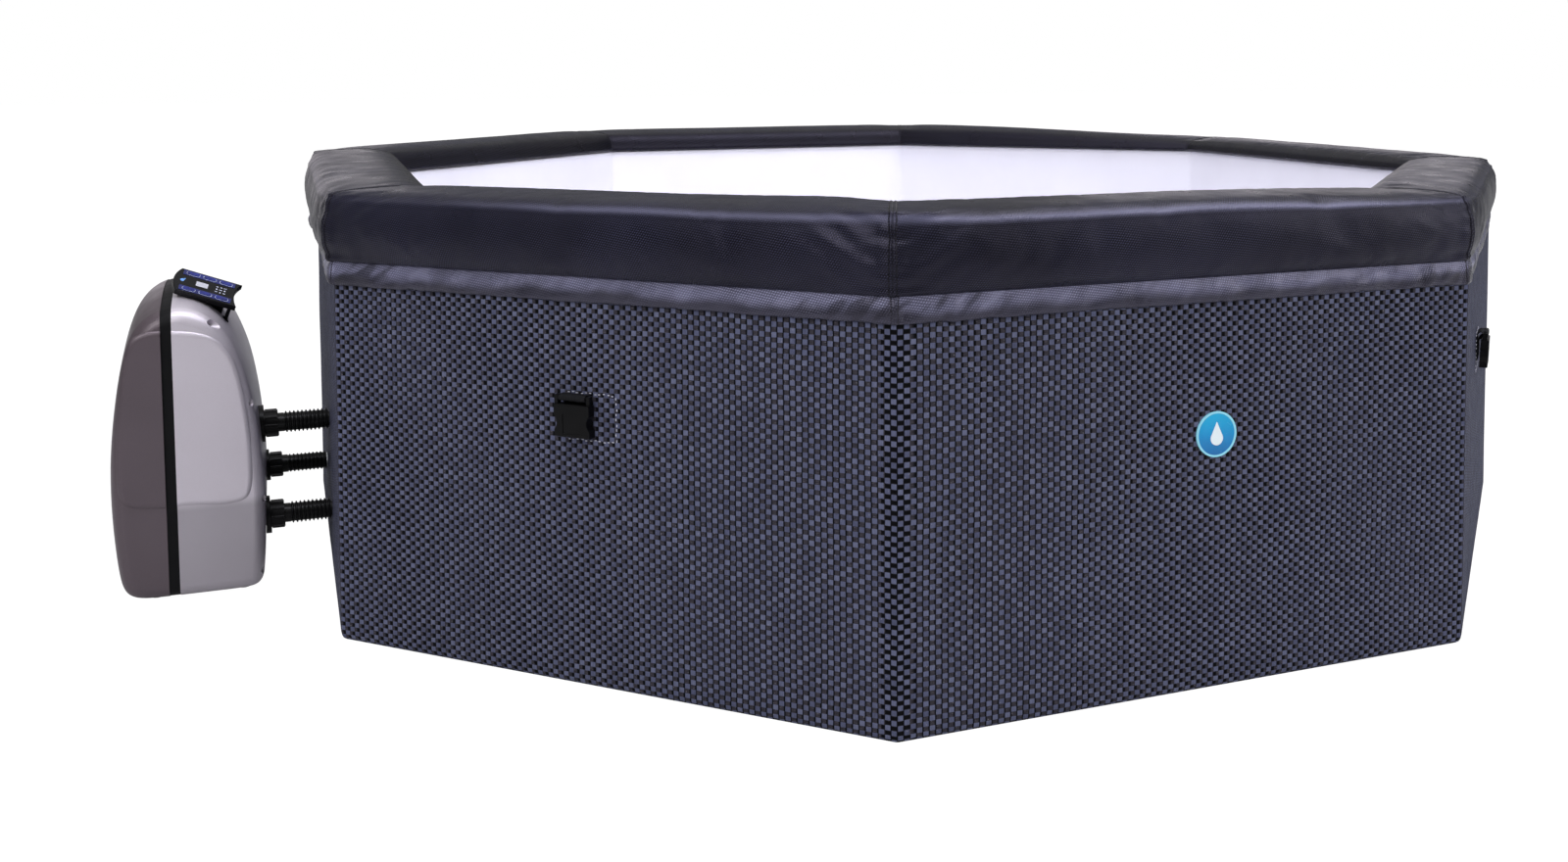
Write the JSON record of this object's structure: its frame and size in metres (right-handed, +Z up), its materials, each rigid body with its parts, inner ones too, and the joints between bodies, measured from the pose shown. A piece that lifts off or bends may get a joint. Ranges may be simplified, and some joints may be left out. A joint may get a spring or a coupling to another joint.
{
  "type": "portable hot tub",
  "caption": "Octagonal foam-walled portable hot tub with padded rim, white liner, lid buckles and a floor-standing heater and pump unit joined by ribbed hoses.",
  "frame": {"origin": "centre of the tub's underside, on the ground", "axes": "+Z up; +X from the control unit towards the tub, along the assembly's longest extent; the octagon's flats face X and Y"},
  "size_m": [2.2369, 1.9604, 0.61],
  "materials": {
    "ground_sheet": "matt",
    "foam": "matt foam",
    "woven_print": "woven basket print, satin",
    "liner_white": "satin",
    "rim_charcoal": "embossed, satin",
    "skirt_charcoal": "embossed, satin",
    "white_plastic": "satin",
    "filter_paper": "pleated",
    "badge_blue": "gloss",
    "webbing_black": "woven",
    "black_plastic": "satin",
    "silver_plastic": "metallic satin",
    "taupe_plastic": "metallic satin",
    "rubber_black": "matt",
    "steel_screw": "brushed",
    "strip_blue": "gloss",
    "lcd_grey": "gloss",
    "pcb_green": "satin",
    "button_blue": "gloss",
    "motor_metal": "cast",
    "heater_steel": "brushed",
    "tray_black": "matt"
  },
  "bodies": {
    "tub": {"base_sheet": "ground_sheet", "floor_foam_pad": "foam", "wall_foam_panels": "foam", "outer_jacket": "woven_print", "inner_liner": "liner_white", "rim_cover": "rim_charcoal", "rim_foam": "foam", "rim_skirt": "skirt_charcoal", "wall_port_fittings": "white_plastic", "air_duct": "white_plastic", "air_ring": "white_plastic", "drain_body": "black_plastic", "badge": "badge_blue", "buckle_tabs": "webbing_black", "housing_tub_side": "silver_plastic", "housing_outer": "taupe_plastic", "trim_band": "rubber_black", "casing_screws": "steel_screw", "unit_feet": "rubber_black", "power_gland": "black_plastic", "panel_cradle": "black_plastic", "port_fittings": "black_plastic", "rubber_seals": "rubber_black", "ribbed_hoses": "rubber_black", "pump_volute": "black_plastic", "pump_motor": "motor_metal", "heater_tube": "heater_steel", "heating_element": "heater_steel", "inner_pipework": "white_plastic", "blower_housing": "black_plastic", "blower_motor": "motor_metal", "control_box": "white_plastic", "control_board": "pcb_green", "equipment_tray": "tray_black"},
    "filter": {"filter_base": "white_plastic", "filter_cartridge": "filter_paper"},
    "filter_cap_body": {"filter_cap": "white_plastic"},
    "drain_cap_body": {"drain_cap": "black_plastic"},
    "panel": {"panel_back_case": "black_plastic", "panel_front_bezel": "black_plastic", "display_window": "lcd_grey", "panel_strips": "strip_blue", "panel_board": "pcb_green", "panel_lead": "rubber_black"},
    "nut_upper": {"union_nut_upper": "black_plastic"},
    "nut_lower": {"union_nut_lower": "black_plastic"},
    "nut_air": {"union_nut_air": "black_plastic"},
    "impeller": {"pump_impeller": "white_plastic"},
    "fan": {"blower_fan": "white_plastic"},
    "flap": {"check_valve_flap": "rubber_black"},
    "buckle_body_1": {"buckle_1": "black_plastic"},
    "buckle_body_2": {"buckle_2": "black_plastic"},
    "buckle_body_3": {"buckle_3": "black_plastic"},
    "buckle_body_4": {"buckle_4": "black_plastic"},
    "button_body_1": {"button_1": "button_blue"},
    "button_body_2": {"button_2": "button_blue"},
    "button_body_3": {"button_3": "button_blue"},
    "button_body_4": {"button_4": "button_blue"},
    "button_body_5": {"button_5": "button_blue"},
    "button_body_6": {"button_6": "button_blue"}
  },
  "joints": [
    {"name": "filter_unscrew", "type": "hinge", "parent": "tub", "child": "filter", "pos_m": [-0.8, -0.1, 0.1], "axis": [1, 0, 0], "continuous": true},
    {"name": "filter_cap_pull", "type": "slide", "parent": "filter", "child": "filter_cap_body", "axis": [1, 0, 0], "range_m": [0, 0.095]},
    {"name": "drain_cap_unscrew", "type": "hinge", "parent": "tub", "child": "drain_cap_body", "pos_m": [0, 0.98, 0.08], "axis": [0, 1, 0], "continuous": true},
    {"name": "panel_lift", "type": "slide", "parent": "tub", "child": "panel", "axis": [0.2936, -0.5736, 0.7647], "range_m": [0, 0.06]},
    {"name": "union_nut_upper_spin", "type": "hinge", "parent": "tub", "child": "nut_upper", "pos_m": [-1.047, -0.05, 0.228], "axis": [1, 0, 0], "continuous": true},
    {"name": "union_nut_lower_spin", "type": "hinge", "parent": "tub", "child": "nut_lower", "pos_m": [-1.047, -0.1, 0.1], "axis": [1, 0, 0], "continuous": true},
    {"name": "union_nut_air_spin", "type": "hinge", "parent": "tub", "child": "nut_air", "pos_m": [-1.047, 0.1, 0.126], "axis": [1, 0, 0], "continuous": true},
    {"name": "impeller_spin", "type": "hinge", "parent": "tub", "child": "impeller", "pos_m": [-1.12, -0.1, 0.1], "axis": [1, 0, 0], "continuous": true},
    {"name": "fan_spin", "type": "hinge", "parent": "tub", "child": "fan", "pos_m": [-1.16, 0.1, 0.126], "axis": [1, 0, 0], "continuous": true},
    {"name": "check_flap_swing", "type": "hinge", "parent": "tub", "child": "flap", "pos_m": [-1.1095, 0.1, 0.1384], "axis": [0, -1, 0], "range_deg": [0, 50]},
    {"name": "buckle_1_swing", "type": "hinge", "parent": "tub", "child": "buckle_body_1", "pos_m": [-0.70028, -0.67341, 0.36655], "axis": [-0.7071, 0.7071, 0], "range_deg": [0, 150]},
    {"name": "buckle_2_swing", "type": "hinge", "parent": "tub", "child": "buckle_body_2", "pos_m": [0.63027, -0.74341, 0.36655], "axis": [-0.7071, -0.7071, 0], "range_deg": [0, 150]},
    {"name": "buckle_3_swing", "type": "hinge", "parent": "tub", "child": "buckle_body_3", "pos_m": [0.68684, 0.68684, 0.36655], "axis": [0.7071, -0.7071, 0], "range_deg": [0, 150]},
    {"name": "buckle_4_swing", "type": "hinge", "parent": "tub", "child": "buckle_body_4", "pos_m": [-0.68684, 0.68684, 0.36655], "axis": [0.7071, 0.7071, 0], "range_deg": [0, 150]},
    {"name": "button_1_press", "type": "slide", "parent": "panel", "child": "button_body_1", "axis": [-0.2936, 0.5736, -0.7647], "range_m": [0, 0.001], "stiffness_N_per_m": 400, "springref_m": -0.0005},
    {"name": "button_2_press", "type": "slide", "parent": "panel", "child": "button_body_2", "axis": [-0.2936, 0.5736, -0.7647], "range_m": [0, 0.001], "stiffness_N_per_m": 400, "springref_m": -0.0005},
    {"name": "button_3_press", "type": "slide", "parent": "panel", "child": "button_body_3", "axis": [-0.2936, 0.5736, -0.7647], "range_m": [0, 0.001], "stiffness_N_per_m": 400, "springref_m": -0.0005},
    {"name": "button_4_press", "type": "slide", "parent": "panel", "child": "button_body_4", "axis": [-0.2936, 0.5736, -0.7647], "range_m": [0, 0.001], "stiffness_N_per_m": 400, "springref_m": -0.0005},
    {"name": "button_5_press", "type": "slide", "parent": "panel", "child": "button_body_5", "axis": [-0.2936, 0.5736, -0.7647], "range_m": [0, 0.001], "stiffness_N_per_m": 400, "springref_m": -0.0005},
    {"name": "button_6_press", "type": "slide", "parent": "panel", "child": "button_body_6", "axis": [-0.2936, 0.5736, -0.7647], "range_m": [0, 0.001], "stiffness_N_per_m": 400, "springref_m": -0.0005}
  ]
}
